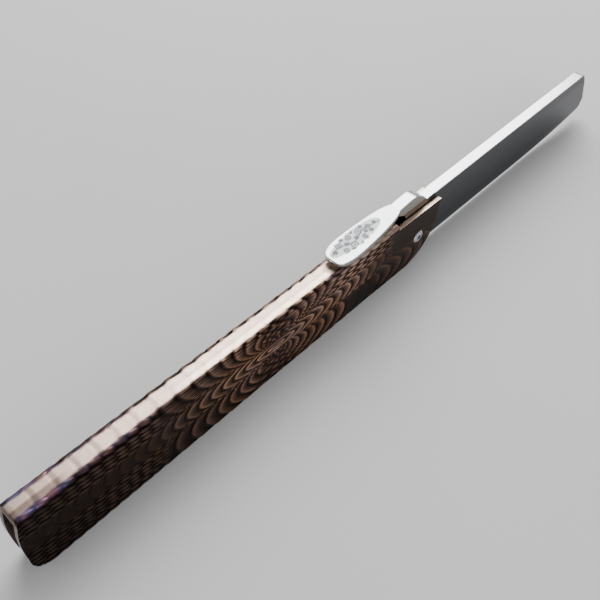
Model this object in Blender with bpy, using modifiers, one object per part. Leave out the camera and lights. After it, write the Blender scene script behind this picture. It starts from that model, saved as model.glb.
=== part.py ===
"""Friction folding knife with a one-piece channel handle.

Metres, +Z up.  The open knife lies along X with the blade tip towards +X, its
spine up, and it stands on the two lower edges of the handle at z = 0.
+Y is the knife's left side.  The origin is below the middle of its length.
"""
import bpy
import bmesh
from math import sin, cos, pi, radians, atan2, sqrt
from mathutils import Vector, Matrix

MM = 0.001

# ---------------------------------------------------------------- dimensions
# stations along the knife are measured in millimetres from the butt
OVERALL = 203.8            # butt to blade tip, knife open
HANDLE_L = 117.4           # length of the channel
HANDLE_H = 18.0            # height over the web
HANDLE_W = 5.9             # width over the walls
WALL = 1.25                # thickness of each wall
WEB = 1.25                 # thickness of the web (the spine of the handle)
SHOULDER_R = 1.3           # rounding where the walls turn into the web
NOSE_R = 11.5              # rounding of the lower front corner
BUTT_R = 4.2               # rounding of the lower rear corner
BUTT_LEAN = 1.3            # how far the butt's top lies ahead of its middle
WEB_CUT_X = 100.5          # the web ends here, so that the tang can come up
WEB_CUT_Z = 16.65          # the walls' upper edge ahead of that cut

BLADE_T = 3.0              # blade, tang and neck thickness
SPINE_X0, SPINE_Z0 = 113.2, 18.2     # spine begins at the notch
SPINE_X1, SPINE_Z1 = 193.0, 19.3     # spine ends, the front drops from here
TIP_X, TIP_Z = 203.8, 5.2            # point of the blade
EDGE_Z = 0.6               # straight part of the cutting edge
BELLY_X = 166.0            # the edge starts to rise here
GRIND_X = 122.5            # the flat grind begins here
GRIND_TOP = 16.2           # height of the grind's upper end
EDGE_T = 0.30              # thickness left at the cutting edge

PIVOT_X, PIVOT_Z = 110.1, 8.5
TANG_R = 7.9               # rounding of the tang's lower rear corner
HUMP_X, HUMP_Z = 106.9, 21.9         # top of the hump above the pivot

LEAF_X0, LEAF_X1 = 78.9, 100.8       # flat lever, rear end and neck end
LEAF_Z0, LEAF_Z1 = 19.95, 21.49      # its upper face at those stations
LEAF_T = 0.90
LEAF_HALF = 3.5            # half of its greatest width

WASHER_R = 4.5
WASHER_HOLE_R = 1.60
WASHER_T = 0.42
POCKET_R = 4.65            # washer pocket in the tang
POCKET_DEPTH = 0.35

BARREL_R = 1.50
BARREL_HEAD_R = 2.30
BARREL_HEAD_T = 0.65
BARREL_END_Y = -2.05       # the barrel ends inside the right wall
SCREW_HEAD_R = 1.72
SCREW_HEAD_T = 0.75
SCREW_SHANK_R = 0.90
BORE_R = 1.00              # threaded bore of the barrel
HOLE_CLEAR = 0.06          # radial play of the pivot in its holes
SEGMENTS = 48

X0 = -OVERALL / 2.0        # butt's station in the part's own frame

for ob in list(bpy.data.objects):
    bpy.data.objects.remove(ob, do_unlink=True)

scene_root = bpy.context.scene.collection
parts = bpy.data.collections.new("friction_folding_knife")
cutters = bpy.data.collections.new("cutters")
scene_root.children.link(parts)
scene_root.children.link(cutters)


# ------------------------------------------------------------------ helpers
def material(name, colour, roughness, metallic):
    mat = bpy.data.materials.new(name)
    mat.use_nodes = True
    bsdf = mat.node_tree.nodes["Principled BSDF"]
    bsdf.inputs["Base Color"].default_value = (*colour, 1.0)
    bsdf.inputs["Roughness"].default_value = roughness
    bsdf.inputs["Metallic"].default_value = metallic
    mat.diffuse_color = (*colour, 1.0)
    return mat


def put(ob, collection):
    for c in list(ob.users_collection):
        c.objects.unlink(ob)
    collection.objects.link(ob)
    return ob


def as_cutter(ob):
    put(ob, cutters)
    ob.hide_render = True
    ob.display_type = "WIRE"
    return ob


def outline(name, points, thickness, plane="XZ"):
    """A flat outline with thickness: 2D curve, both faces filled, then a mesh.

    points are millimetres; in plane XZ the thickness runs along Y, in plane
    XY it runs along Z.
    """
    cu = bpy.data.curves.new(name + "_curve", "CURVE")
    cu.dimensions = "2D"
    cu.fill_mode = "BOTH"
    cu.extrude = thickness * MM / 2.0
    sp = cu.splines.new("POLY")
    sp.points.add(len(points) - 1)
    for p, (a, b) in zip(sp.points, points):
        p.co = (a * MM, b * MM, 0.0, 1.0)
    sp.use_cyclic_u = True
    tmp = bpy.data.objects.new(name + "_curve", cu)
    scene_root.objects.link(tmp)
    bpy.context.view_layer.update()
    deps = bpy.context.evaluated_depsgraph_get()
    me = bpy.data.meshes.new_from_object(tmp.evaluated_get(deps))
    bpy.data.objects.remove(tmp, do_unlink=True)
    bm = bmesh.new()
    bm.from_mesh(me)
    bmesh.ops.remove_doubles(bm, verts=bm.verts, dist=0.000002)
    bmesh.ops.recalc_face_normals(bm, faces=bm.faces)
    if plane == "XZ":
        bmesh.ops.transform(bm, matrix=Matrix.Rotation(pi / 2, 4, "X"), verts=bm.verts)
    bm.to_mesh(me)
    bm.free()
    me.name = name
    ob = bpy.data.objects.new(name, me)
    parts.objects.link(ob)
    return ob


def box(name, x0, x1, y0, y1, z0, z1):
    bm = bmesh.new()
    bmesh.ops.create_cube(bm, size=1.0)
    size = Vector(((x1 - x0) * MM, (y1 - y0) * MM, (z1 - z0) * MM))
    mid = Vector(((x0 + x1) / 2 * MM, (y0 + y1) / 2 * MM, (z0 + z1) / 2 * MM))
    bmesh.ops.scale(bm, vec=size, verts=bm.verts)
    bmesh.ops.translate(bm, vec=mid, verts=bm.verts)
    me = bpy.data.meshes.new(name)
    bm.to_mesh(me)
    bm.free()
    ob = bpy.data.objects.new(name, me)
    parts.objects.link(ob)
    return ob


def disc(name, radius, y0, y1, segments=SEGMENTS, x=PIVOT_X, z=PIVOT_Z):
    """A cylinder along Y between y0 and y1, on the pivot unless told otherwise."""
    bm = bmesh.new()
    bmesh.ops.create_cone(bm, cap_ends=True, segments=segments, radius1=radius * MM,
                          radius2=radius * MM, depth=(y1 - y0) * MM,
                          matrix=Matrix.Rotation(pi / 2, 4, "X"))
    bmesh.ops.translate(bm, vec=Vector((x * MM, (y0 + y1) / 2 * MM, z * MM)), verts=bm.verts)
    me = bpy.data.meshes.new(name)
    bm.to_mesh(me)
    bm.free()
    ob = bpy.data.objects.new(name, me)
    parts.objects.link(ob)
    return ob


def boolean(ob, other, operation="DIFFERENCE"):
    mod = ob.modifiers.new(other.name, "BOOLEAN")
    mod.operation = operation
    mod.solver = "EXACT"
    mod.object = other
    return mod


def arc(cx, cz, r, a0, a1, n):
    return [(cx + r * cos(radians(a0 + (a1 - a0) * i / n)),
             cz + r * sin(radians(a0 + (a1 - a0) * i / n))) for i in range(n + 1)]


def spline(points, per_span=4):
    """Points on a smooth curve through the given points (Catmull-Rom)."""
    out = []
    for i in range(len(points) - 1):
        p0 = Vector(points[max(i - 1, 0)])
        p1, p2 = Vector(points[i]), Vector(points[i + 1])
        p3 = Vector(points[min(i + 2, len(points) - 1)])
        for k in range(per_span):
            t = k / per_span
            q = 0.5 * ((2 * p1) + (p2 - p0) * t + (2 * p0 - 5 * p1 + 4 * p2 - p3) * t * t
                       + (3 * p1 - p0 - 3 * p2 + p3) * t ** 3)
            out.append((q.x, q.y))
    out.append(tuple(points[-1]))
    return out


# ------------------------------------------------------------ handle_channel
mat_handle = material("bronze_anodised_titanium", (0.36, 0.21, 0.14), 0.38, 1.0)

butt_mid = 9.0
profile = arc(HANDLE_L - NOSE_R, NOSE_R, NOSE_R, -90, 0, 14)
profile += [(HANDLE_L, HANDLE_H)]
n = 8
for i in range(n + 1):                      # gently convex butt, top to middle
    z = HANDLE_H - (HANDLE_H - butt_mid) * i / n
    profile.append((BUTT_LEAN * ((z - butt_mid) / (HANDLE_H - butt_mid)) ** 2, z))
profile += arc(BUTT_R, BUTT_R, BUTT_R, 180, 270, 8)
handle = outline("handle_channel", profile, HANDLE_W)

bm = bmesh.new()
bm.from_mesh(handle.data)
top = HANDLE_H * MM - 1e-6
side = HANDLE_W / 2 * MM - 1e-6
edges = [e for e in bm.edges
         if all(v.co.z > top and abs(v.co.y) > side for v in e.verts)
         and abs(e.verts[0].co.y - e.verts[1].co.y) < 1e-6]
bmesh.ops.bevel(bm, geom=edges, offset=SHOULDER_R * MM, offset_type="OFFSET", segments=5,
                profile=0.5, affect="EDGES", clamp_overlap=False)
bm.to_mesh(handle.data)
bm.free()
handle.data.materials.append(mat_handle)

inner = HANDLE_W / 2 - WALL
channel = as_cutter(box("cut_channel", -6, HANDLE_L + 6, -inner, inner, -6, HANDLE_H - WEB))
web_cut = as_cutter(box("cut_web", WEB_CUT_X, HANDLE_L + 6, -HANDLE_W, HANDLE_W,
                        WEB_CUT_Z, HANDLE_H + 6))
boolean(handle, channel)
boolean(handle, web_cut)
wall_out = HANDLE_W / 2
hole = as_cutter(disc("cut_pivot_hole", BARREL_R + HOLE_CLEAR, -wall_out - 2, wall_out + 2))
rec_l = as_cutter(disc("cut_head_recess_left", BARREL_HEAD_R + HOLE_CLEAR,
                       wall_out - BARREL_HEAD_T - 0.06, wall_out + 3))
rec_r = as_cutter(disc("cut_head_recess_right", SCREW_HEAD_R + HOLE_CLEAR,
                       -wall_out - 3, -wall_out + SCREW_HEAD_T + 0.06))
for c in (hole, rec_l, rec_r):
    boolean(handle, c)

# --------------------------------------------------------------------- blade
mat_blade = material("satin_steel", (0.62, 0.62, 0.63), 0.28, 1.0)

belly = []
for i in range(13):                         # rising edge, from the straight part to the tip
    t = i / 12
    x = BELLY_X + (TIP_X - 1.0 - BELLY_X) * t
    belly.append((x, EDGE_Z + (TIP_Z - 1.5 - EDGE_Z) * t ** 2.2))
tip = [(TIP_X - 0.25, TIP_Z - 0.75), (TIP_X, TIP_Z), (TIP_X - 0.15, TIP_Z + 0.8)]
front = [(SPINE_X1 + 0.55, SPINE_Z1 - 0.45), (SPINE_X1 - 0.2, SPINE_Z1)]
spine = [(SPINE_X0 + 0.35, SPINE_Z0)]
hump = spline([(112.75, 18.35), (111.9, 19.15), (110.6, 20.35), (109.0, 21.4),
               (HUMP_X, HUMP_Z), (104.4, 21.82), (102.0, 21.56), (99.2, 21.36)], 3)
neck_under = [(98.0, 20.42), (100.0, 20.0), (101.5, 19.4), (102.9, 18.65), (104.0, 17.8),
              (104.45, 16.7), (104.3, 15.2), (103.2, 12.6)]
tang = arc(PIVOT_X, PIVOT_Z, TANG_R, 167, 270, 14)
blade_profile = ([(GRIND_X, EDGE_Z)] + belly + tip + front + spine + hump
                 + neck_under + tang)
blade = outline("blade", blade_profile, BLADE_T)
blade.data.materials.append(mat_blade)

# flat grind on both sides: a slab leaned against the side of the blade
drop = GRIND_TOP - EDGE_Z
lean = atan2((BLADE_T - EDGE_T) / 2, drop)
for sign, side_name in ((1, "left"), (-1, "right")):
    slab = box("cut_grind_" + side_name, GRIND_X, OVERALL + 8, 0, 6, -12, 30)
    bm = bmesh.new()
    bm.from_mesh(slab.data)
    bmesh.ops.translate(bm, vec=Vector((0, 0, -GRIND_TOP * MM)), verts=bm.verts)
    if sign < 0:
        bmesh.ops.scale(bm, vec=Vector((1, -1, 1)), verts=bm.verts)
        bmesh.ops.reverse_faces(bm, faces=bm.faces)
    bmesh.ops.transform(bm, matrix=Matrix.Rotation(-sign * lean, 4, "X"), verts=bm.verts)
    bmesh.ops.translate(bm, vec=Vector((0, sign * BLADE_T / 2 * MM, GRIND_TOP * MM)),
                        verts=bm.verts)
    bm.to_mesh(slab.data)
    bm.free()
    boolean(blade, as_cutter(slab))

# the flat lever: a leaf that widens behind the neck and ends round
leaf_pts = [(0.0, 0.0), (0.2, 1.2), (0.7, 2.15), (1.6, 2.85), (3.3, 3.32), (5.7, LEAF_HALF),
            (9.1, 3.43), (12.6, 3.22), (16.0, 2.93), (19.1, 2.5), (21.0, 2.06)]
half = spline(leaf_pts, 3)
leaf_plan = ([(LEAF_X0 + s, -w) for s, w in half]
             + [(LEAF_X0 + 22.3, -1.58), (LEAF_X0 + 22.3, 1.58)]
             + [(LEAF_X0 + s, w) for s, w in reversed(half[1:])])
leaf = outline("lever_leaf", leaf_plan, LEAF_T, plane="XY")
slope = atan2(LEAF_Z1 - LEAF_Z0, LEAF_X1 - LEAF_X0)
bm = bmesh.new()
bm.from_mesh(leaf.data)
bmesh.ops.translate(bm, vec=Vector((-LEAF_X0 * MM, 0, -LEAF_T / 2 * MM)), verts=bm.verts)
bmesh.ops.transform(bm, matrix=Matrix.Rotation(-slope, 4, "Y"), verts=bm.verts)
bmesh.ops.translate(bm, vec=Vector((LEAF_X0 * MM, 0, LEAF_Z0 * MM)), verts=bm.verts)
bm.to_mesh(leaf.data)
bm.free()
boolean(blade, as_cutter(leaf), "UNION")

boolean(blade, as_cutter(disc("cut_blade_hole", BARREL_R + HOLE_CLEAR, -4, 4)))
boolean(blade, as_cutter(disc("cut_pocket_left", POCKET_R, BLADE_T / 2 - POCKET_DEPTH, 4)))
boolean(blade, as_cutter(disc("cut_pocket_right", POCKET_R, -4, -BLADE_T / 2 + POCKET_DEPTH)))

# ------------------------------------------------------------------- washers
mat_bronze = material("phosphor_bronze", (0.70, 0.45, 0.24), 0.35, 1.0)
washer_mid = (inner + BLADE_T / 2 - POCKET_DEPTH) / 2
for sign, name in ((1, "washer_left"), (-1, "washer_right")):
    y0 = sign * washer_mid - WASHER_T / 2
    w = disc(name, WASHER_R, y0, y0 + WASHER_T)
    boolean(w, as_cutter(disc("cut_" + name, WASHER_HOLE_R, y0 - 1, y0 + WASHER_T + 1)))
    w.data.materials.append(mat_bronze)

# --------------------------------------------------- pivot barrel and screw
mat_pivot = material("polished_steel", (0.66, 0.66, 0.67), 0.16, 1.0)

# barrel: turned profile, head at the left (+Y)
def turned(name, profile_ry, segments=SEGMENTS):
    """Radius and y pairs, spun round the pivot axis."""
    me = bpy.data.meshes.new(name)
    bm = bmesh.new()
    vs = [bm.verts.new((r * MM, 0.0, y * MM)) for r, y in profile_ry]
    for a, b in zip(vs, vs[1:]):
        bm.edges.new((a, b))
    bm.to_mesh(me)
    bm.free()
    ob = bpy.data.objects.new(name, me)
    parts.objects.link(ob)
    mod = ob.modifiers.new("turn", "SCREW")
    mod.axis = "Z"
    mod.steps = segments
    mod.render_steps = segments
    mod.use_merge_vertices = True
    mod.merge_threshold = 0.000002
    mod.use_smooth_shade = True
    # +Z of the turned piece points to the knife's left, on the pivot axis
    ob.rotation_euler = (-pi / 2, 0, 0)
    ob.location = (PIVOT_X * MM, 0, PIVOT_Z * MM)
    return ob


head_in = wall_out - BARREL_HEAD_T
barrel = turned("pivot_barrel", [
    (0.0, wall_out - 0.02), (BARREL_HEAD_R - 0.2, wall_out - 0.02),
    (BARREL_HEAD_R, wall_out - 0.2), (BARREL_HEAD_R, head_in), (BARREL_R, head_in),
    (BARREL_R, BARREL_END_Y), (BORE_R, BARREL_END_Y), (BORE_R, 1.0), (0.0, 1.35)])
barrel.data.materials.append(mat_pivot)

screw_in = -wall_out + SCREW_HEAD_T
screw = turned("pivot_screw", [
    (0.0, 0.55), (SCREW_SHANK_R - 0.2, 0.55), (SCREW_SHANK_R, 0.35),
    (SCREW_SHANK_R, screw_in), (SCREW_HEAD_R, screw_in),
    (SCREW_HEAD_R, -wall_out + 0.10), (SCREW_HEAD_R - 0.25, -wall_out - 0.12),
    (SCREW_HEAD_R - 0.7, -wall_out - 0.20), (0.0, -wall_out - 0.22)])
screw.data.materials.append(mat_pivot)
# six-sided driver socket in each visible end
for name, host, ya, yb in (("cut_socket_right", screw, -wall_out - 1, -wall_out + 0.45),
                           ("cut_socket_left", barrel, wall_out - 0.5, wall_out + 1)):
    boolean(host, as_cutter(disc(name, 0.75, ya, yb, segments=6)))

# ------------------------------------------------- placement and parenting
shift = Matrix.Translation(Vector((X0 * MM, 0, 0)))
pivot = Vector((PIVOT_X * MM, 0, PIVOT_Z * MM))

blade_axis = bpy.data.objects.new("blade_axis", None)
blade_axis.empty_display_size = 0.01
parts.objects.link(blade_axis)
blade_axis.location = pivot + Vector((X0 * MM, 0, 0))

for ob in list(parts.objects) + list(cutters.objects):
    if ob.type == "MESH":
        if ob.name in ("pivot_barrel", "pivot_screw"):
            ob.location.x += X0 * MM
        else:
            ob.data.transform(shift)
bpy.context.view_layer.update()

# the blade turns about its own origin, which is put on the pivot's axis
origin = blade_axis.location.copy()
blade.data.transform(Matrix.Translation(-origin))
blade.location = (0, 0, 0)
blade.parent = blade_axis

for ob in parts.objects:
    if ob.type == "MESH":
        ob.data.shade_smooth()
        ob.data.set_sharp_from_angle(angle=radians(35))
bpy.context.view_layer.update()
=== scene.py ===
import bpy
import bmesh
import numpy as np
from math import radians, sin, cos, pi, sqrt, atan2
from mathutils import Vector, Matrix


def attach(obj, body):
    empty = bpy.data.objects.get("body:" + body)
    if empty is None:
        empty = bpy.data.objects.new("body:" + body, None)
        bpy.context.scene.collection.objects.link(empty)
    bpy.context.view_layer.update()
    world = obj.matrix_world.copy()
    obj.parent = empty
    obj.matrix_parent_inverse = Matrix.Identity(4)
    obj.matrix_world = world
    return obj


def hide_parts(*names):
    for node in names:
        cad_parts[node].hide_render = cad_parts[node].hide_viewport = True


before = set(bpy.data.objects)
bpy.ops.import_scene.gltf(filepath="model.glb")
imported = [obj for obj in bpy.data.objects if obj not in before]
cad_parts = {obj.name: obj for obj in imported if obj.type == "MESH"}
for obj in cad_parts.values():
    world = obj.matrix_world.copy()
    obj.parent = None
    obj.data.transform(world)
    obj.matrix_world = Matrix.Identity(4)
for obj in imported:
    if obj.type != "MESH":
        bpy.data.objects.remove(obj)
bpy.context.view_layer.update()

MM = 0.001
X0 = -101.9                       # the butt's station in the part's frame, mm

# ------------------------------------------------------------------ numbers
HANDLE_L, HANDLE_H, HANDLE_W = 117.4, 18.0, 5.9
HALF = HANDLE_W / 2
INNER = 1.70
SHOULDER = 1.3
NOSE_R, BUTT_R, BUTT_LEAN = 11.5, 4.2, 1.3
CUT_X, CUT_Z = 100.5, 16.65
CEIL_Z = 16.75
PIV_X, PIV_Z = 110.1, 8.5


def sstep(a, b, x):
    t = np.clip((x - a) / (b - a), 0.0, 1.0)
    return t * t * (3 - 2 * t)


def butt_x(z):
    z = np.asarray(z, float)
    up = BUTT_LEAN * (np.clip(z - 9.0, 0, None) / 9.0) ** 2
    low = BUTT_R - np.sqrt(np.clip(BUTT_R ** 2 - (BUTT_R - np.clip(z, 0, BUTT_R)) ** 2, 0, None))
    return np.where(z >= BUTT_R, up, low)


def nose_x(z):
    z = np.asarray(z, float)
    c = np.clip(z, 0, NOSE_R)
    return HANDLE_L - NOSE_R + np.sqrt(np.clip(NOSE_R ** 2 - (NOSE_R - c) ** 2, 0, None))


# ------------------------------------------------- milled scallop relief
def rings(s):
    """Ring number of an arc whose apex lies s mm from the pattern's middle."""
    p = np.clip(s, 0.0, None)
    first = np.log1p(0.311 * np.minimum(p, 4.0)) / 0.28
    near = (np.log1p(0.05 * np.clip(p, 4.0, 24.4)) - np.log1p(0.2)) / 0.09
    return first + near + np.clip(p - 24.4, 0, None) / 4.1 + np.minimum(s, 0) / 0.9


def apex_height(s, top, length):
    return top * (1 - np.exp(-(np.clip(s, 0, None) + 1.2) / length))


def lobe(dx, h, top, length, offset):
    """Arcs that bulge towards +dx, h mm away from the middle line."""
    s = dx.copy()
    for _ in range(6):
        k = 0.52 / (1 + 0.085 * np.clip(s, 0, None))
        d = h - apex_height(s, top, length)
        s = 0.5 * s + 0.5 * (dx + k * d * d)
    return rings(s) - offset - 0.864, s


def tooth(n, rise=1.3, drop=0.16):
    """Rises to a crest, then falls off sharply: 0 in the groove, 1 on the crest."""
    f = n - np.floor(n)
    up = np.clip((f - 0.06) / (1 - drop - 0.06), 0, 1) ** rise
    down = np.clip((1 - f) / drop, 0, 1)
    return np.minimum(up * 0.55 + 0.45 * np.clip((f - 0.05) / 0.12, 0, 1), down)


def bricks(x, z, pitch, rows=1.05):
    """Staggered rows of small rounded scales."""
    r = np.floor(z / rows)
    bx = 2 * np.mod(x / pitch + 0.5 * np.mod(r, 2) + 0.12 * np.sin(r * 2.1), 1.0) - 1
    bz = 2 * (z / rows - r) - 1
    return np.sqrt(np.clip(1.02 - bx * bx - 0.85 * bz * bz, 0, 1))


def relief(x, z):
    """Height of the milled surface, 0 deep in a groove to 1 on a crest."""
    dx, dz = x - 59.5, z - 10.7
    adx, adz = np.abs(dx), np.abs(z - 10.7)
    fine = 0.60
    row = np.floor(z / fine)
    inrow = z / fine - row
    zq = z + 0.45 * ((row + 0.5) * fine - z)
    lean = 0.30 * (inrow - 0.5)
    hq = np.abs(zq - 10.7)
    # central lobe: nested flat ellipses
    rho = np.sqrt((dx / 3.1) ** 2 + (dz / 0.74) ** 2)
    mid = 0.10 + 0.90 * tooth(rho + 0.02, 1.6, 0.24)
    # the two outer lobes, each of a right-going and a left-going family
    up = dz > 0
    dxl = dx + np.where(up, 1.2, -1.1) * sstep(6, 0, adx) + lean
    nr, sr = lobe(dxl, hq, np.where(up, 8.2, 6.4), np.where(up, 8.5, 7.5), np.where(up, 0.36, 0.62))
    nl, sl = lobe(-dxl, hq, np.where(up, 8.4, 7.2), np.where(up, 8.5, 7.5), np.where(up, 0.10, 0.83))
    tr, tl = tooth(nr, 1.0, 0.21), tooth(nl, 1.0, 0.21)
    reach = 0.35 * (hq - 4)
    wr = sstep(-6.5, -1.5, dx + reach)
    wl = sstep(6.5, 1.5, dx - reach)
    arcs_only = np.minimum(1 - wr * (1 - tr), 1 - wl * (1 - tl))
    gate = 0.5 - np.abs(inrow - 0.5)
    worn = 0.5 + 0.5 * np.sin(0.9 * x + 2.3 * row) * np.sin(0.37 * x - 1.1 * row)
    bars = 1 - (0.50 + 0.22 * worn) * np.exp(-(gate / 0.21) ** 2)
    outer = arcs_only * bars
    # small scales where the lobes meet and towards the ends
    side = sstep(18.9, 18.3, z)
    seam = sstep(7, 13, adx) * sstep(1.9, 2.5, adz) * sstep(3.6 + 0.03 * adx, 2.8 + 0.03 * adx, adz)
    outer = outer + 0.55 * seam * (bricks(x, z, 1.9) * 0.9 - outer)
    far = sstep(72, 80, x) * sstep(101, 97, x) * sstep(11.8, 13.0, z) * side
    outer = outer + 0.85 * far * (bricks(x + 0.4 * z, z, 3.6) - outer)
    far2 = sstep(78, 84, x) * sstep(100, 96, x) * sstep(9.5, 8.5, z) * sstep(5.5 - 0.2 * (x - 88), 7.0 - 0.2 * (x - 88), z)
    outer = outer + 0.8 * far2 * (bricks(x - 0.6 * z, z, 2.4) - outer)
    rear = sstep(33, 26, x) * np.clip(sstep(11.2, 12.4, z) * side + sstep(8.8, 7.6, z), 0, 1)
    outer = outer + 0.85 * rear * (bricks(x + 0.9 * z, z, 2.6, 1.25) - outer)
    # the spine keeps only the outlines of the big scales
    crown = sstep(18.5, 19.1, z)
    outer = outer * (1 - crown) + crown * (0.72 + 0.28 * arcs_only)
    edge = 1.75 + 0.60 * sstep(2.5, 11, adx)
    wc = sstep(edge + 0.25, edge - 0.30, adz)
    # the middle lobe dies away towards both ends
    wane = sstep(33, 24, adx)
    mid = mid * wane + (1 - wane) * (0.25 + 0.6 * mid * bars)
    out = mid * wc + outer * (1 - wc)
    # the front end has big soft scallops and a plain patch ahead of them
    soft = sstep(91, 96, x) * sstep(10.5, 8.0, z)
    fan = (x + 0.24 * (z - 4.6) ** 2 - 104.6) / 4.3
    out = out * (1 - soft) + soft * (0.05 + 0.78 * tooth(fan, 1.6, 0.22))
    plain = sstep(96, 102, x) * sstep(8.5, 11.0, z)
    out = out * (1 - 0.9 * plain) + 0.9 * plain * (0.24 + 0.06 * np.cos(2 * pi * z / 1.05))
    patch = sstep(82, 86, x) * sstep(96, 93, x) * sstep(7.6 - 0.35 * (x - 86), 6.2 - 0.35 * (x - 86), z)
    out = out * (1 - 0.85 * patch) + 0.85 * patch * 0.22
    return out


def painted_light(x, z):
    """Painted light and shade: how much of the lit copper colour shows; the ends, a patch low near the front and the
    lower edge are painted darker as shade.
    """
    t = np.interp(x, [0, 10, 25, 35, 40, 47, 55, 118], [0.03, 0.07, 0.20, 0.36, 0.52, 0.80, 1, 1])
    t = t * (1 - 0.85 * sstep(83, 87, x) * sstep(96, 92, x) * sstep(8.5, 6.8, z))
    t = t * (1 - 0.22 * sstep(90, 103, x) * sstep(4, 12, z) - 0.46 * sstep(86, 96, x))
    t = t * (1 - 0.45 * sstep(2.4, 0.6, z))
    t = t * (1 - 0.22 * sstep(30, 12, x) * sstep(3.0, 0, np.abs(z - 10.5)))
    return t


def rims(x, z):
    """Distance in mm to the wall's outline."""
    return np.minimum.reduce([x - butt_x(z), nose_x(z) - x, z])


# --------------------------------------------------------------- mesh tools
def grid_faces(idx):
    a, b, c, d = idx[:-1, :-1], idx[1:, :-1], idx[1:, 1:], idx[:-1, 1:]
    return np.stack([a, b, c, d], -1).reshape(-1, 4)


def make_mesh(name, verts, faces, mats, face_mats, attrs=None, sharp=38):
    """verts in mm by station; becomes an object in the part's frame."""
    v = np.asarray(verts, float).copy()
    v[:, 0] += X0
    me = bpy.data.meshes.new(name)
    me.from_pydata((v * MM).tolist(), [], [list(map(int, f)) for f in faces])
    for m in mats:
        me.materials.append(m)
    me.polygons.foreach_set("material_index", np.asarray(face_mats, np.int32))
    for key, val in (attrs or {}).items():
        a = me.attributes.new(key, "FLOAT", "POINT")
        a.data.foreach_set("value", np.asarray(val, np.float32))
    bm = bmesh.new()
    bm.from_mesh(me)
    bmesh.ops.remove_doubles(bm, verts=bm.verts, dist=2e-7)
    bmesh.ops.dissolve_degenerate(bm, edges=bm.edges, dist=1e-7)
    bmesh.ops.recalc_face_normals(bm, faces=bm.faces)
    bm.to_mesh(me)
    bm.free()
    me.shade_smooth()
    me.set_sharp_from_angle(angle=radians(sharp))
    ob = bpy.data.objects.new(name, me)
    bpy.context.scene.collection.objects.link(ob)
    return ob


# ------------------------------------------------------------ node materials
class Nodes:
    def __init__(self, name):
        self.mat = bpy.data.materials.new(name)
        self.mat.use_nodes = True
        self.t = self.mat.node_tree
        self.bsdf = self.t.nodes["Principled BSDF"]

    def new(self, kind, **props):
        n = self.t.nodes.new(kind)
        for k, v in props.items():
            setattr(n, k, v)
        return n

    def link(self, a, b):
        self.t.links.new(a, b)

    def coords(self, scale):
        tc = self.new("ShaderNodeTexCoord")
        mp = self.new("ShaderNodeMapping")
        mp.inputs["Scale"].default_value = scale
        self.link(tc.outputs["Object"], mp.inputs["Vector"])
        return mp.outputs["Vector"]

    def noise(self, scale, size, detail=3.0, rough=0.55):
        n = self.new("ShaderNodeTexNoise")
        n.inputs["Scale"].default_value = size
        n.inputs["Detail"].default_value = detail
        n.inputs["Roughness"].default_value = rough
        self.link(self.coords(scale), n.inputs["Vector"])
        return n.outputs["Fac"]

    def ramp(self, fac, stops):
        r = self.new("ShaderNodeValToRGB")
        e = r.color_ramp.elements
        while len(e) > 1:
            e.remove(e[-1])
        e[0].position, e[0].color = stops[0][0], (*stops[0][1], 1)
        for p, c in stops[1:]:
            k = e.new(p)
            k.color = (*c, 1)
        self.link(fac, r.inputs["Fac"])
        return r.outputs["Color"]

    def mix(self, fac, a, b, mode="MIX"):
        m = self.new("ShaderNodeMix", data_type="RGBA", blend_type=mode)
        if isinstance(fac, (int, float)):
            m.inputs["Factor"].default_value = fac
        else:
            self.link(fac, m.inputs["Factor"])
        for sock, val in ((m.inputs["A"], a), (m.inputs["B"], b)):
            pass
        ina = [s for s in m.inputs if s.name == "A" and s.type == "RGBA"][0]
        inb = [s for s in m.inputs if s.name == "B" and s.type == "RGBA"][0]
        for sock, val in ((ina, a), (inb, b)):
            if isinstance(val, tuple):
                sock.default_value = (*val, 1)
            else:
                self.link(val, sock)
        return [s for s in m.outputs if s.type == "RGBA"][0]

    def math(self, op, a, b=None, clamp=False):
        m = self.new("ShaderNodeMath", operation=op, use_clamp=clamp)
        for sock, val in zip(m.inputs, (a, b)):
            if val is None:
                continue
            if isinstance(val, (int, float)):
                sock.default_value = val
            else:
                self.link(val, sock)
        return m.outputs[0]

    def remap(self, fac, lo, hi, a=0.0, b=1.0):
        m = self.new("ShaderNodeMapRange")
        m.inputs["From Min"].default_value = a
        m.inputs["From Max"].default_value = b
        m.inputs["To Min"].default_value = lo
        m.inputs["To Max"].default_value = hi
        self.link(fac, m.inputs["Value"])
        return m.outputs["Result"]

    def attr(self, name):
        return self.new("ShaderNodeAttribute", attribute_name=name).outputs["Fac"]

    def bump(self, height, strength, distance):
        b = self.new("ShaderNodeBump")
        b.inputs["Strength"].default_value = strength
        b.inputs["Distance"].default_value = distance
        self.link(height, b.inputs["Height"])
        self.link(b.outputs["Normal"], self.bsdf.inputs["Normal"])

    def finish(self, colour, rough, metallic=1.0):
        self.link(colour, self.bsdf.inputs["Base Color"])
        self.link(rough, self.bsdf.inputs["Roughness"])
        self.bsdf.inputs["Metallic"].default_value = metallic
        return self.mat


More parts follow.
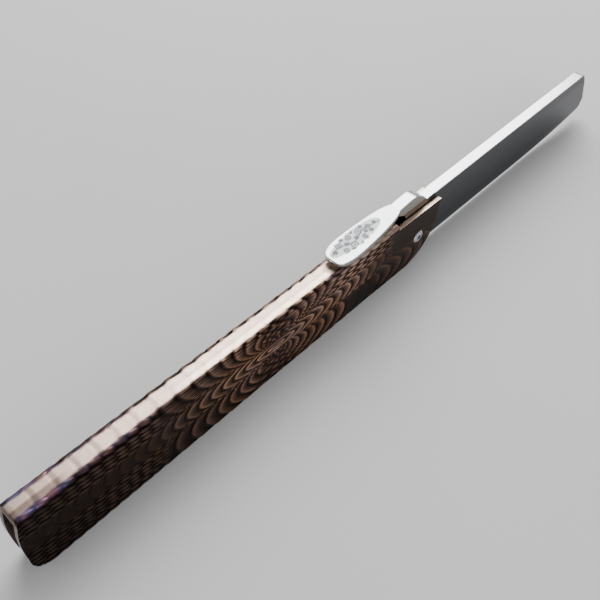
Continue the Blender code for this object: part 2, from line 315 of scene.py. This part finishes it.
def mat_handle():
    n = Nodes("dark_bronze_milled_painted_light")
    rel, lit_amt, painted_lit_top, iris = n.attr("relief"), n.attr("painted_light"), n.attr("painted_lit_top"), n.attr("iris")
    cloud = n.noise((90, 90, 90), 1.6, 3)
    grit = n.noise((900, 2600, 2600), 1.0, 4)
    h = n.math("ADD", rel, n.math("MULTIPLY", n.math("SUBTRACT", grit, 0.5), 0.22), True)
    side = n.ramp(h, [(0.0, (0.004, 0.003, 0.0025)), (0.30, (0.016, 0.008, 0.005)),
                      (0.52, (0.070, 0.034, 0.020)), (0.76, (0.24, 0.125, 0.075)),
                      (1.0, (0.62, 0.38, 0.25))])
    pink = n.ramp(h, [(0.0, (0.004, 0.003, 0.003)), (0.34, (0.022, 0.012, 0.010)),
                      (0.62, (0.125, 0.068, 0.052)), (1.0, (0.52, 0.33, 0.27))])
    side = n.mix(n.remap(cloud, 0, 1, 0.42, 0.60), side, pink)
    # painted shade: a dark copy of the milled colour, shown where the painted light mask is low
    shaded_col = n.ramp(h, [(0.0, (0.0025, 0.002, 0.002)), (0.6, (0.007, 0.0048, 0.004)),
                      (1.0, (0.026, 0.016, 0.012))])
    side = n.mix(lit_amt, shaded_col, side)
    # painted highlight: the pale spine colour stands for the light that the top reflects
    lit_top_col = n.ramp(h, [(0.0, (0.16, 0.10, 0.08)), (0.40, (0.36, 0.26, 0.22)),
                      (0.75, (0.52, 0.375, 0.315)), (1.0, (0.61, 0.455, 0.390))])
    lit_top_col = n.mix(n.remap(n.noise((160, 420, 420), 1.0, 2), 0.0, 0.6, 0.45, 0.75), lit_top_col, (0.54, 0.44, 0.43))
    # painted highlight: bright peach colours for the lit strip along the shoulder
    highlight_col = n.ramp(h, [(0.0, (0.30, 0.18, 0.12)), (0.40, (0.80, 0.56, 0.42)), (1.0, (1.0, 0.80, 0.64))])
    lit_top_col = n.mix(n.attr("strip"), lit_top_col, highlight_col)
    col = n.mix(painted_lit_top, side, lit_top_col)
    hue = n.ramp(n.noise((260, 120, 120), 1.0, 2), [(0.30, (0.16, 0.30, 0.52)), (0.47, (0.42, 0.26, 0.50)),
                                                    (0.60, (0.66, 0.30, 0.40)), (0.75, (0.62, 0.42, 0.26))])
    col = n.mix(iris, col, hue)
    rough = n.remap(grit, 0.24, 0.44, 0.2, 0.8)
    n.bump(n.noise((500, 4200, 4200), 1.0, 3), 0.22, 0.00004)
    # the coloured layer swallows most of the glancing reflection
    n.bsdf.inputs["Specular Tint"].default_value = (0.86, 0.80, 0.77, 1.0)
    return n.finish(col, rough)


def mat_cut(name, light, deep, r0, r1):
    """Bare machined metal with fine cutter lines along X."""
    n = Nodes(name)
    lines = n.noise((350, 5200, 5200), 1.0, 3)
    cloud = n.noise((120, 120, 120), 1.2, 2)
    col = n.mix(n.remap(lines, 0, 1, 0.3, 0.7), deep, light)
    col = n.mix(n.remap(cloud, 0, 0.35, 0.35, 0.75), col, deep)
    n.bump(lines, 0.2, 0.00003)
    return n.finish(col, n.remap(lines, r0, r1, 0.25, 0.75))


def mat_steel(name, light, deep, r0, r1, scale=(180, 2600, 4200), tang=None, engrave=False):
    n = Nodes(name)
    lines = n.noise(scale, 1.0, 4, 0.65)
    cloud = n.noise((60, 60, 60), 1.4, 3)
    specks = n.noise((2600, 2600, 2600), 1.0, 1)
    col = n.mix(n.remap(lines, 0, 1, 0.30, 0.70), deep, light)
    col = n.mix(n.remap(cloud, 0.0, 0.30, 0.4, 0.7), col, deep)
    col = n.mix(n.remap(specks, 0.0, 0.35, 0.70, 0.78), col, light)
    rough = n.remap(lines, r0, r1, 0.25, 0.75)
    if tang:
        # behind the notch the same steel is polished
        tc = n.new("ShaderNodeTexCoord")
        sp = n.new("ShaderNodeSeparateXYZ")
        n.link(tc.outputs["Object"], sp.inputs["Vector"])
        back = n.remap(sp.outputs["X"], 1.0, 0.0, 0.0110, 0.0122)
        col = n.mix(back, col, tang)
        rough = n.math("MULTIPLY", rough, n.remap(back, 1.0, 0.22, 0, 1))
    if engrave:
        cut = n.attr("engrave")
        col = n.mix(cut, col, (0.060, 0.062, 0.068))
        rough = n.math("ADD", rough, n.math("MULTIPLY", cut, 0.25), True)
    n.bump(lines, 0.18, 0.000025)
    return n.finish(col, rough)


HANDLE = mat_handle()
# painted shade: the inside of the channel gets a darker copy of the cut metal
HANDLE_IN = mat_cut("titanium_channel_inside_painted_shade", (0.20, 0.15, 0.13), (0.055, 0.042, 0.038), 0.32, 0.5)
HANDLE_CUT = mat_cut("titanium_cut_edge", (0.95, 0.76, 0.62), (0.62, 0.44, 0.34), 0.22, 0.38)
HANDLE_END = mat_cut("titanium_butt_end", (0.20, 0.13, 0.10), (0.06, 0.042, 0.034), 0.28, 0.45)
# painted light: one steel, given a dark colour on the blade's sides as painted shade and a bright colour on the spine
# and hump as painted highlight
BLADE_SIDE = mat_steel("steel_side_painted_shade", (0.066, 0.069, 0.077), (0.040, 0.042, 0.048), 0.34, 0.46,
                       (120, 3000, 5200), tang=(0.30, 0.27, 0.245))
BLADE_TOP = mat_steel("steel_spine_painted_highlight", (0.93, 0.94, 0.95), (0.72, 0.74, 0.76), 0.14, 0.26,
                      (3200, 260, 260))
# painted highlight: the lever's top gets a bright steel colour for the light it reflects; the engraving stays its own
# darker colour
LEVER_TOP = mat_steel("lever_steel_painted_highlight", (0.88, 0.89, 0.91), (0.62, 0.64, 0.67), 0.18, 0.32,
                      (260, 3600, 3600), engrave=True)
TANG_SIDE = mat_steel("polished_tang_steel", (0.42, 0.40, 0.38), (0.24, 0.23, 0.22), 0.06, 0.12)

# ------------------------------------------------------- handle_channel mesh
N1 = 520
N2 = 92
NZ = 136

xs_t = np.concatenate([[0.0], np.linspace(0.0012, 1.0, N1)])          # butt to web cut
fr_t = np.concatenate([np.linspace(0, 0.993, N2)[1:], [1.0]])         # web cut to nose


def row_x(z, front=True):
    b = float(butt_x(z))
    xs = b + (CUT_X - b) * xs_t
    if front:
        e = float(nose_x(z))
        xs = np.concatenate([xs, CUT_X + (e - CUT_X) * fr_t])
    return xs


z_rows = np.concatenate([[0.0], np.linspace(0.12, CUT_Z, NZ)])
arc_n = 10
web_n = 24
cap = []                                   # (z, unfolded height, y, nz, ny) right to left
for zz in np.linspace(CUT_Z, HANDLE_H - SHOULDER, 2)[1:]:
    cap.append((zz, zz, -HALF, 0.0, -1.0))
for i in range(1, arc_n + 1):
    a = pi / 2 * i / arc_n
    cap.append((HANDLE_H - SHOULDER + SHOULDER * sin(a), HANDLE_H - SHOULDER + SHOULDER * a,
                -(HALF - SHOULDER) - SHOULDER * cos(a), sin(a), -cos(a)))
flat = HALF - SHOULDER
for i in range(1, web_n):
    y = -flat + 2 * flat * i / web_n
    cap.append((HANDLE_H, HANDLE_H - SHOULDER + SHOULDER * pi / 2 + min(y + flat, flat - y), y, 1.0, 0.0))
mirror = [(z, u, -y, nz, -ny) for z, u, y, nz, ny in reversed(cap[:arc_n + 1])]
cap = cap + mirror

verts, faces, fmat = [], [], []
att = {"relief": [], "painted_light": [], "painted_lit_top": [], "iris": [], "strip": []}


def add_row(P, rel=None, lit_amt=None, painted_lit_top=None, iris=None, strip=None):
    start = len(verts)
    m = len(P)
    verts.extend(P.tolist())
    for key, val, dflt in (("relief", rel, 0.6), ("painted_light", lit_amt, 1.0), ("painted_lit_top", painted_lit_top, 0.0), ("iris", iris, 0.0),
                           ("strip", strip, 0.0)):
        att[key].extend((np.full(m, dflt) if val is None else np.broadcast_to(val, m)).tolist())
    return np.arange(start, start + m)


DEPTH = 0.27


def skin(x, z, u):
    """Depth of the surface below the wall's plane, and the relief there."""
    r = relief(x, u)
    # plain land round the two pivot heads
    d = np.hypot(x - PIV_X, z - PIV_Z)
    land = sstep(2.9, 2.3, d)
    r = r * (1 - land) + 0.5 * land
    return r


def side_row(z, sign):
    x = row_x(z)
    zz = np.full_like(x, z)
    r = skin(x, zz, zz)
    depth = (1 - r) * DEPTH * (1 - 0.35 * sstep(95, 100, x))
    e = rims(x, zz)
    depth = np.maximum(depth, 0.14 * sstep(0.14, 0.0, e))
    y = sign * (HALF - depth)
    # the recess round the pivot head
    R = 1.80 if sign < 0 else 2.38
    dxp, dzp = x - PIV_X, zz - PIV_Z
    d = np.hypot(dxp, dzp)
    near = np.abs(d - R) < 0.12
    k = np.where(near, R / np.maximum(d, 1e-6), 1.0)
    xs = np.where(near, PIV_X + dxp * k, x)
    zs = np.where(near, PIV_Z + dzp * k, zz)
    hole = (d < R - 0.12)
    y = np.where(hole, sign * (HALF - 0.78), y)
    lit_amt = painted_light(x, zz)
    painted_lit_top = np.zeros_like(x)
    iris = np.zeros_like(x)
    return np.stack([xs, y, zs], -1), r, lit_amt, painted_lit_top, iris


def cap_row(c):
    z, u, y, nz, ny = c
    x = row_x(z, front=False)
    r = relief(x, np.full_like(x, u))
    up = nz
    depth = (1 - r) * DEPTH * (0.95 - 0.45 * up)
    # the milling leaves the spine's edges slightly wavy
    wav = 0.5 + 0.5 * np.cos(2 * pi * x / 4.3 + (0.0 if y < 0 else 1.9))
    depth = depth + 0.15 * wav * float(np.exp(-((abs(y) - 2.25) / 0.6) ** 2)) * sstep(2, 6, x) * sstep(100, 97, x)
    depth = np.maximum(depth, 0.12 * sstep(0.14, 0.0, x - float(butt_x(z))))
    P = np.stack([x, y - ny * depth, z - nz * depth], -1)
    lit_amt = painted_light(x, np.full_like(x, z))
    ay = abs(y)
    right = y < 0
    # painted highlight: dark over most of the shoulder as painted shade, pale from where it meets the flat top
    painted_lit_top = np.full_like(x, float(sstep(1.95, 1.45, np.array(ay))))
    # painted shade dims the top of the right side towards the butt
    rear_shade = 1 - 0.62 * sstep(13, 9, x) * float(sstep(0.1, -0.4, np.array(y)))
    painted_lit_top = painted_lit_top * rear_shade
    # a faint painted highlight along the shoulder, and a pale painted highlight beside the lever
    painted_lit_top = np.maximum(painted_lit_top, 0.10 * sstep(26, 36, x) * (0.5 + 0.5 * r))
    beside = sstep(79, 85, x) * float(sstep(0.25, 0.60, np.array(up)))
    painted_lit_top = np.maximum(painted_lit_top, 0.80 * beside)
    # painted highlight: a bright strip along the shoulder, full on the right side and weaker on the left
    wave = 0.5 + 0.5 * np.sin(2 * pi * x / 4.3 + 1.2)
    strip = (1.0 if right else 0.25) * float(sstep(0.15, 0.55, np.array(ay)) * sstep(1.75, 1.40, np.array(ay)))
    strip = strip * sstep(32, 40, x) * (0.75 + 0.25 * wave)
    strip = np.maximum(strip, 0.55 * beside)
    edge_on = float(np.exp(-((ay - 2.0) / 0.42) ** 2))
    iris = (0.50 * sstep(1.2, 3, x) * sstep(13, 9, x) + 0.14 * sstep(11, 15, x) * sstep(32, 24, x)
            + 0.10 * sstep(74, 78, x) * sstep(86, 82, x)) * edge_on
    return P, r, lit_amt, painted_lit_top, iris, strip


rows_r = [add_row(*side_row(z, -1)) for z in z_rows]
rows_l = [add_row(*side_row(z, 1)) for z in z_rows]
rows_c = [add_row(*cap_row(c)) for c in cap]
FR = len(xs_t)                              # columns from the butt to the web cut
skin_idx = np.array(rows_r)
faces.append(grid_faces(skin_idx)); fmat.append(np.full(len(faces[-1]), 0))
skin_l = np.array(rows_l)
faces.append(grid_faces(skin_l)); fmat.append(np.full(len(faces[-1]), 0))
cap_idx = np.array([rows_r[-1][:FR]] + rows_c + [rows_l[-1][:FR]])
faces.append(grid_faces(cap_idx)); fmat.append(np.full(len(faces[-1]), 0))

# inside of the channel, coarser along z but on the same columns at its rims
zin = np.linspace(0, CUT_Z, 6)
in_r = [add_row(np.stack([row_x(z), np.full(len(row_x(z)), -INNER), np.full(len(row_x(z)), z)], -1)) for z in zin]
in_l = [add_row(np.stack([row_x(z), np.full(len(row_x(z)), INNER), np.full(len(row_x(z)), z)], -1)) for z in zin]
ceil = []
for y in (-INNER, -0.6, 0.6, INNER):
    x = row_x(CEIL_Z, front=False)
    ceil.append(add_row(np.stack([x, np.full_like(x, y), np.full_like(x, CEIL_Z)], -1)))
for blockrows in (np.array(in_r), np.array(in_l)):
    faces.append(grid_faces(blockrows)); fmat.append(np.full(len(faces[-1]), 1))
faces.append(grid_faces(np.array([in_r[-1][:FR]] + ceil + [in_l[-1][:FR]]))); fmat.append(np.full(len(faces[-1]), 1))


def strip(a, b, m):
    faces.append(grid_faces(np.array([a, b])))
    fmat.append(np.full(len(faces[-1]), m))


# lower edges of the walls, wall tops ahead of the cut
strip(rows_r[0], in_r[0], 3)
strip(rows_l[0], in_l[0], 3)
for outer_row, inner_row, s in ((rows_r[-1], in_r[-1], -1), (rows_l[-1], in_l[-1], 1)):
    strip(outer_row[FR - 1:], inner_row[FR - 1:], 2)


def poly_strip(a, b, m):
    """A strip between two chains of different length, matched along their length."""
    a, b = list(a), list(b)
    i = j = 0
    out = []
    pa = np.array([verts[k] for k in a]); pb = np.array([verts[k] for k in b])
    ta = np.concatenate([[0], np.cumsum(np.linalg.norm(np.diff(pa, axis=0), axis=1))]); ta /= ta[-1]
    tb = np.concatenate([[0], np.cumsum(np.linalg.norm(np.diff(pb, axis=0), axis=1))]); tb /= tb[-1]
    while i < len(a) - 1 or j < len(b) - 1:
        if j == len(b) - 1 or (i < len(a) - 1 and ta[i + 1] <= tb[j + 1]):
            out.append((a[i], a[i + 1], b[j])); i += 1
        else:
            out.append((a[i], b[j + 1], b[j])); j += 1
    tri_faces.extend(out)
    tri_mats.extend([m] * len(out))


tri_faces, tri_mats = [], []
# butt: right wall, web, left wall; front ends of the walls; front end of the web
poly_strip([r[0] for r in rows_r], [r[0] for r in in_r], 3)
poly_strip([r[0] for r in rows_l], [r[0] for r in in_l], 3)
poly_strip([rows_r[-1][0]] + [r[0] for r in rows_c] + [rows_l[-1][0]],
           [in_r[-1][0]] + [r[0] for r in ceil] + [in_l[-1][0]], 3)
poly_strip([r[-1] for r in rows_r], [r[-1] for r in in_r], 3)
poly_strip([r[-1] for r in rows_l], [r[-1] for r in in_l], 3)
poly_strip([rows_r[-1][FR - 1]] + [r[-1] for r in rows_c] + [rows_l[-1][FR - 1]],
           [in_r[-1][FR - 1]] + [r[-1] for r in ceil] + [in_l[-1][FR - 1]], 2)

all_faces = [tuple(f) for f in np.concatenate(faces)] + tri_faces
all_mats = list(np.concatenate(fmat)) + tri_mats
handle = make_mesh("handle_milled_channel", verts, all_faces,
                   [HANDLE, HANDLE_IN, HANDLE_CUT, HANDLE_END], all_mats, att, sharp=50)
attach(handle, "handle")
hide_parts("handle_channel")

# ------------------------------------------------------------- blade mesh
T = 1.5
EDGE_Z, GRIND_TOP, EDGE_T = 0.6, 16.2, 0.15


def spline(points, per):
    out = []
    P = [np.array(p, float) for p in points]
    for i in range(len(P) - 1):
        p0, p1, p2, p3 = P[max(i - 1, 0)], P[i], P[i + 1], P[min(i + 2, len(P) - 1)]
        for k in range(per):
            t = k / per
            out.append(0.5 * (2 * p1 + (p2 - p0) * t + (2 * p0 - 5 * p1 + 4 * p2 - p3) * t * t
                              + (3 * p1 - p0 - 3 * p2 + p3) * t ** 3))
    out.append(P[-1])
    return np.array(out)


def top_z(x):
    z = 18.2 + (19.3 - 18.2) * (x - 113.55) / (192.8 - 113.55)
    # the front falls from the spine's end to the point, rounded where they meet
    front = 19.3 - (x - 193.3) * (19.3 - 5.6) / (203.75 - 193.3)
    k = 0.35
    d = (z - front) / k
    return np.minimum(z, front) - k * np.log1p(np.exp(-np.abs(d)))


def bot_z(x):
    t = np.clip((x - 166.0) / (202.8 - 166.0), 0, None)
    z = EDGE_Z + 3.1 * t ** 2.2
    return np.where(x > 202.8, 3.7 + (x - 202.8) / 1.0 * 1.1, z)


bx = np.concatenate([np.linspace(116.0, 127.0, 25)[:-1], np.linspace(127.0, 188.0, 62)[:-1],
                     np.linspace(188.0, 201.0, 40)[:-1], np.linspace(201.0, 203.72, 12)])
NS = 26
lev = np.linspace(0, 1, NS)
bverts, bfaces, bmats, batt = [], [], [], []


def ring_at(x):
    zt, zb = float(top_z(x)), float(bot_z(x))
    zt = max(zt, zb + 0.3)
    h = zt - zb
    c = min(0.16, h * 0.3)
    zs = zb + c * 0.2 + (h - c * 1.2) * lev
    w = np.where(zs < GRIND_TOP, EDGE_T + (T - EDGE_T) * (zs - EDGE_Z) / (GRIND_TOP - EDGE_Z), T)
    w = np.clip(w, EDGE_T, T)
    plunge = float(sstep(116.1, 121.5, np.array(x)))
    w = T * (1 - plunge) + w * plunge
    # the point is rounded off in plan as well
    nearend = float(np.clip((203.8 - x) / 1.6, 0, 1)) ** 0.5
    w = w * (0.25 + 0.75 * nearend)
    wt = max(w[-1] - c, 0.05)
    wb = max(w[0] - (c if plunge < 0.05 else 0.06), 0.03)
    R = [(-wb, zb)] + [(-a, b) for a, b in zip(w, zs)] + [(-wt, zt), (0, zt + 0.0), (wt, zt)]
    R += [(a, b) for a, b in zip(w[::-1], zs[::-1])] + [(wb, zb)]
    return R


rings_i = []
for x in bx:
    R = ring_at(x)
    s = len(bverts)
    bverts.extend([(x, y, z) for y, z in R])
    rings_i.append(list(range(s, s + len(R))))
RN = len(rings_i[0])
for a, b, a_x in zip(rings_i, rings_i[1:], bx):
    for k in range(RN):
        k2 = (k + 1) % RN
        bfaces.append((a[k], b[k], b[k2], a[k2]))
        bmats.append(1 if NS <= k <= NS + 3 and a_x < 193.6 else 0)
end = rings_i[-1]
bfaces.append(tuple(end))
bmats.append(0)

# tang, neck and hump: side outline from the lower front round to the upper front
arc_pts = [(PIV_X + 7.9 * cos(radians(a)), PIV_Z + 7.9 * sin(radians(a))) for a in np.linspace(270, 167, 28)]
neck = spline([(103.2, 12.6), (104.3, 15.2), (104.45, 16.7), (104.0, 17.8), (102.9, 18.65),
               (101.5, 19.4), (100.0, 20.0), (98.4, 20.5)], 3)
hump = spline([(98.6, 21.20), (100.2, 21.36), (102.0, 21.52), (104.4, 21.80), (106.9, 21.88), (109.0, 21.4),
               (110.6, 20.35), (111.9, 19.15), (112.75, 18.35)], 4)
chain = [(116.0, 0.6)] + arc_pts + [tuple(p) for p in neck[1:]] + [tuple(p) for p in hump] \
    + [(113.05, 18.05), (113.4, 18.05), (113.75, 18.22), (116.0, float(top_z(np.array(116.0))))]
C = np.array(chain, float)
C[1, 1] = 0.6
tan = np.gradient(C, axis=0)
nrm = np.stack([tan[:, 1], -tan[:, 0]], -1)          # inward for this direction
nrm /= np.maximum(np.linalg.norm(nrm, axis=1, keepdims=True), 1e-9)
cx = np.array([112.0, 10.0])
if np.mean(np.sum((cx - C) * nrm, axis=1)) < 0:
    nrm = -nrm
CH = 0.20
INS = C + nrm * CH
INS[0] = (116.0, 0.6 + 0.032)
INS[-1] = (116.0, C[-1, 1] - 0.16)


def add_b(P):
    s = len(bverts)
    bverts.extend([tuple(p) for p in P])
    return list(range(s, s + len(P)))


rr = ring_at(116.0)
zt116, zb116 = float(top_z(np.array(116.0))), 0.6
sil_r = add_b([(p[0], -(T - CH), p[1]) for p in C])
sil_l = add_b([(p[0], (T - CH), p[1]) for p in C])
ins_r = add_b([(p[0], -T, p[1]) for p in INS])
ins_l = add_b([(p[0], T, p[1]) for p in INS])
for i in range(len(C) - 1):
    bfaces.append((sil_r[i], sil_r[i + 1], sil_l[i + 1], sil_l[i])); bmats.append(1 if C[i][1] > 17.9 else 2)
    m = 1 if C[i][1] > 20.5 else (0 if C[i][0] > 112 else 2)
    bfaces.append((ins_r[i], ins_r[i + 1], sil_r[i + 1], sil_r[i])); bmats.append(m)
    bfaces.append((sil_l[i], sil_l[i + 1], ins_l[i + 1], ins_l[i])); bmats.append(m)
# flat sides of the tang, filled with the washer pocket and the pivot hole left open
import mathutils.geometry as geo


def tang_side(sign, ins_loop):
    outer_i = ins_loop + [rings_i[0][k] for k in (range(NS, 0, -1) if sign < 0 else range(NS + 4, RN - 1))][1:-1]
    outer2 = [(bverts[k][0], bverts[k][2]) for k in outer_i]
    pk = []
    m = 48
    for a in range(m):
        t = 2 * pi * a / m
        pk.append((PIV_X + 4.65 * cos(t), PIV_Z + 4.65 * sin(t)))
    pocket_top = add_b([(p[0], sign * T, p[1]) for p in pk])
    loops = [[Vector((p[0], p[1], 0)) for p in outer2], [Vector((p[0], p[1], 0)) for p in pk]]
    idx = outer_i + pocket_top
    for tri in geo.tessellate_polygon(loops):
        bfaces.append(tuple(idx[k] for k in tri))
        bmats.append(0)
    low = add_b([(p[0], sign * (T - 0.35), p[1]) for p in pk])
    hole = [(PIV_X + 1.56 * cos(2 * pi * a / m), PIV_Z + 1.56 * sin(2 * pi * a / m)) for a in range(m)]
    hl = add_b([(p[0], sign * (T - 0.35), p[1]) for p in hole])
    hm = add_b([(p[0], 0.0, p[1]) for p in hole])
    for a in range(m):
        b = (a + 1) % m
        bfaces.append((pocket_top[a], pocket_top[b], low[b], low[a])); bmats.append(2)
        bfaces.append((low[a], low[b], hl[b], hl[a])); bmats.append(2)
        bfaces.append((hl[a], hl[b], hm[b], hm[a])); bmats.append(2)


tang_side(-1, ins_r)
tang_side(1, ins_l)

# ------------------------------------------------------------- lever leaf
LX0, LX1, LZ0, LZ1, LT = 78.9, 100.8, 19.95, 21.49, 0.90
half_pts = spline([(0.0, 0.0), (0.2, 1.2), (0.7, 2.15), (1.6, 2.85), (3.3, 3.32), (5.7, 3.5), (9.1, 3.43),
                   (12.6, 3.22), (16.0, 2.93), (19.1, 2.5), (21.0, 2.06), (22.3, 1.58)], 12)
half_pts[:, 0] = np.maximum.accumulate(half_pts[:, 0])


def scroll_field(s, y):
    """Distance in mm to a few plain scroll curves on the lever's flat."""
    best = np.full(s.shape, 9.0)

    def curve(px, py):
        nonlocal best
        for a in range(len(px) - 1):
            ax, ay, bx_, by_ = px[a], py[a], px[a + 1], py[a + 1]
            lx, ly = bx_ - ax, by_ - ay
            t = np.clip(((s - ax) * lx + (y - ay) * ly) / (lx * lx + ly * ly + 1e-9), 0, 1)
            best = np.minimum(best, np.hypot(s - ax - t * lx, y - ay - t * ly))

    def spiral(cx_, cy_, r0, r1, a0, turns, hand):
        t = np.linspace(0, 1, int(14 * abs(turns)) + 4)
        r = r0 + (r1 - r0) * t
        a = a0 + hand * 2 * pi * turns * t
        curve(cx_ + r * np.cos(a), cy_ + r * np.sin(a))

    # plain running scrolls along a wavy stem
    t = np.linspace(0, 1, 40)
    curve(1.4 + 15.4 * t, 0.55 + 0.75 * np.sin(2 * pi * 1.75 * t) * (1 - 0.45 * t))
    for cx_, cy_, r1, a0, hand in ((4.3, 1.65, 1.00, 3.6, 1), (4.6, -0.55, 0.80, 2.4, -1), (7.7, 1.85, 0.85, 1.2, -1),
                                   (7.4, -0.75, 1.15, 0.3, 1), (10.6, 1.45, 1.05, 3.0, 1), (10.8, -0.80, 0.75, 5.2, -1),
                                   (13.4, 0.95, 0.80, 1.0, -1), (13.2, -0.35, 0.55, 2.2, 1), (2.5, 0.75, 0.55, 0.0, -1),
                                   (15.4, 0.70, 0.45, 4.0, 1), (6.1, 0.75, 0.60, 2.0, 1), (9.1, 0.35, 0.62, 4.4, -1),
                                   (12.1, 0.30, 0.50, 0.6, 1), (9.2, 2.45, 0.50, 5.0, 1), (6.0, 2.40, 0.48, 0.8, -1),
                                   (9.2, -1.65, 0.50, 1.9, 1), (6.0, -1.55, 0.45, 3.9, 1), (12.1, 2.05, 0.42, 2.9, -1)):
        spiral(cx_, cy_, 0.10, r1, a0, 1.7, hand)
    return best


NL = 170
NT = 45
arcs = np.concatenate([[0], np.cumsum(np.linalg.norm(np.diff(half_pts, axis=0), axis=1))])
q = np.interp(np.linspace(0, arcs[-1], NL), arcs, np.arange(len(arcs)))
ls = np.interp(q, np.arange(len(arcs)), half_pts[:, 0])
lh = np.interp(q, np.arange(len(arcs)), half_pts[:, 1])
tt = np.linspace(-1, 1, NT)
slope = (LZ1 - LZ0) / (LX1 - LX0)
lverts, lfaces, lmats, lcut = [], [], [], []
prev = None
for s, hw in zip(ls, lh):
    c = min(0.17, hw * 0.45 + 0.001)
    ztop = LZ0 + slope * s
    zbot = ztop - LT
    # the rear end tapers a little in thickness
    zbot += 0.10 * float(sstep(1.2, 0.0, np.array(s)))
    ce = 0.17 * float(sstep(0.5, 0.0, np.array(s)))
    y = tt * (hw - c)
    d = scroll_field(np.full_like(y, s), y)
    reach_l = 2.9 * np.sqrt(np.clip(1 - ((s - 9.0) / 8.2) ** 2, 0, 1)) - 0.10 * np.cos(2.6 * s)
    lobe_y = (y - 0.55) / max(reach_l * 0.78, 0.05)
    field = float(reach_l > 0.1) * sstep(1.08, 0.90, np.abs(lobe_y) + 0.07 * np.sin(3.1 * s + 2.0 * y)) \
        * sstep(0.35, 0.6, hw - np.abs(y))
    line = np.exp(-(d / 0.15) ** 2)
    hatch = 0.5 + 0.5 * np.sin(19.0 * y + 11.0 * s)
    g = field * np.clip(0.48 + 0.18 * hatch + 0.44 * line, 0, 1)
    top = np.stack([np.full_like(y, LX0 + s), y, ztop - ce - 0.04 * g], -1)
    row = [(LX0 + s, -hw, ztop - ce - 0.15)] + [tuple(p) for p in top] + [(LX0 + s, hw, ztop - ce - 0.15)]
    row += [(LX0 + s, hw, zbot + 0.12), (LX0 + s, hw - c, zbot), (LX0 + s, -(hw - c), zbot), (LX0 + s, -hw, zbot + 0.12)]
    b0 = len(lverts)
    lverts.extend(row)
    lcut.extend([0.0] + g.tolist() + [0.0] * 5)
    cur = list(range(b0, b0 + len(row)))
    if prev:
        m = len(cur)
        for k in range(m):
            k2 = (k + 1) % m
            lfaces.append((prev[k], cur[k], cur[k2], prev[k2]))
            lmats.append(3 if k <= NT else 2)
    prev = cur
lfaces.append(tuple(prev)); lmats.append(2)
base = len(bverts)
batt = [0.0] * base + lcut
bverts_all = bverts + lverts
bfaces_all = bfaces + [tuple(base + k for k in f) for f in lfaces]
bmats_all = bmats + lmats
blade = make_mesh("blade_and_lever", bverts_all, bfaces_all, [BLADE_SIDE, BLADE_TOP, TANG_SIDE, LEVER_TOP],
                  bmats_all, {"engrave": batt}, sharp=30)
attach(blade, "blade")
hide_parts("blade")

# ----------------------------------------------- carried-over small parts
WASHER = mat_cut("phosphor_bronze_washer", (0.80, 0.55, 0.30), (0.42, 0.26, 0.13), 0.25, 0.42)
PIVOT = mat_steel("polished_pivot_steel", (0.80, 0.81, 0.83), (0.55, 0.56, 0.58), 0.10, 0.22, (2200, 2200, 2200))
for name, m in (("washer_left", WASHER), ("washer_right", WASHER), ("pivot_barrel", PIVOT), ("pivot_screw", PIVOT)):
    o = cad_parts[name]
    for sl in o.material_slots:
        sl.material = m
    if not o.material_slots:
        o.data.materials.append(m)

# ------------------------------------------------------- floor, light, camera
fl = Nodes("pale_studio_floor")
fcol = fl.ramp(fl.noise((3, 3, 3), 2.0, 2), [(0.3, (0.70, 0.70, 0.70)), (0.7, (0.74, 0.74, 0.74))])
fl.finish(fcol, fl.remap(fl.noise((40, 40, 40), 2.0, 2), 0.75, 0.9, 0, 1), 0.0)
me = bpy.data.meshes.new("studio_floor")
me.from_pydata([(-3, -3, 0), (3, -3, 0), (3, 3, 0), (-3, 3, 0)], [], [(0, 1, 2, 3)])
me.materials.append(fl.mat)
floor = bpy.data.objects.new("studio_floor", me)
floor.location.z = 0.0
bpy.context.scene.collection.objects.link(floor)

world = bpy.data.worlds.new("studio_world")
world.use_nodes = True
world.node_tree.nodes["Background"].inputs[0].default_value = (0.86, 0.88, 0.92, 1)
world.node_tree.nodes["Background"].inputs[1].default_value = 0.45
bpy.context.scene.world = world


def softbox(name, loc, target, size, watts, colour=(1, 1, 1)):
    li = bpy.data.lights.new(name, "AREA")
    li.shape = "RECTANGLE"
    li.size, li.size_y = size
    li.energy = watts
    li.color = colour
    o = bpy.data.objects.new(name, li)
    o.location = loc
    o.rotation_euler = (Vector(target) - Vector(loc)).to_track_quat("-Z", "Y").to_euler()
    bpy.context.scene.collection.objects.link(o)
    return o


softbox("key_softbox", (0.42, 0.36, 0.62), (0, 0, 0), (0.7, 0.7), 9.0, (1.0, 0.99, 0.97))
softbox("fill_softbox", (-0.5, -0.7, 0.5), (0, 0, 0), (0.7, 0.5), 2.4, (1.0, 0.96, 0.92))

cam = bpy.data.cameras.new("camera")
cam.sensor_fit = "HORIZONTAL"
cam.sensor_width = 36.0
cam.lens = 40.5
cam.clip_start = 0.005
cam.clip_end = 20
camo = bpy.data.objects.new("camera", cam)
right = Vector((0.680956, -0.730894, 0.045759))
down = Vector((-0.528034, -0.533331, -0.660862))
fwd = Vector((0.507424, 0.425855, -0.749111))
rot = Matrix((right, -down, -fwd)).transposed()
camo.matrix_world = Matrix.Translation(Vector((-0.105398, -0.061345, 0.122577))) @ rot.to_4x4()
bpy.context.scene.collection.objects.link(camo)
bpy.context.scene.camera = camo
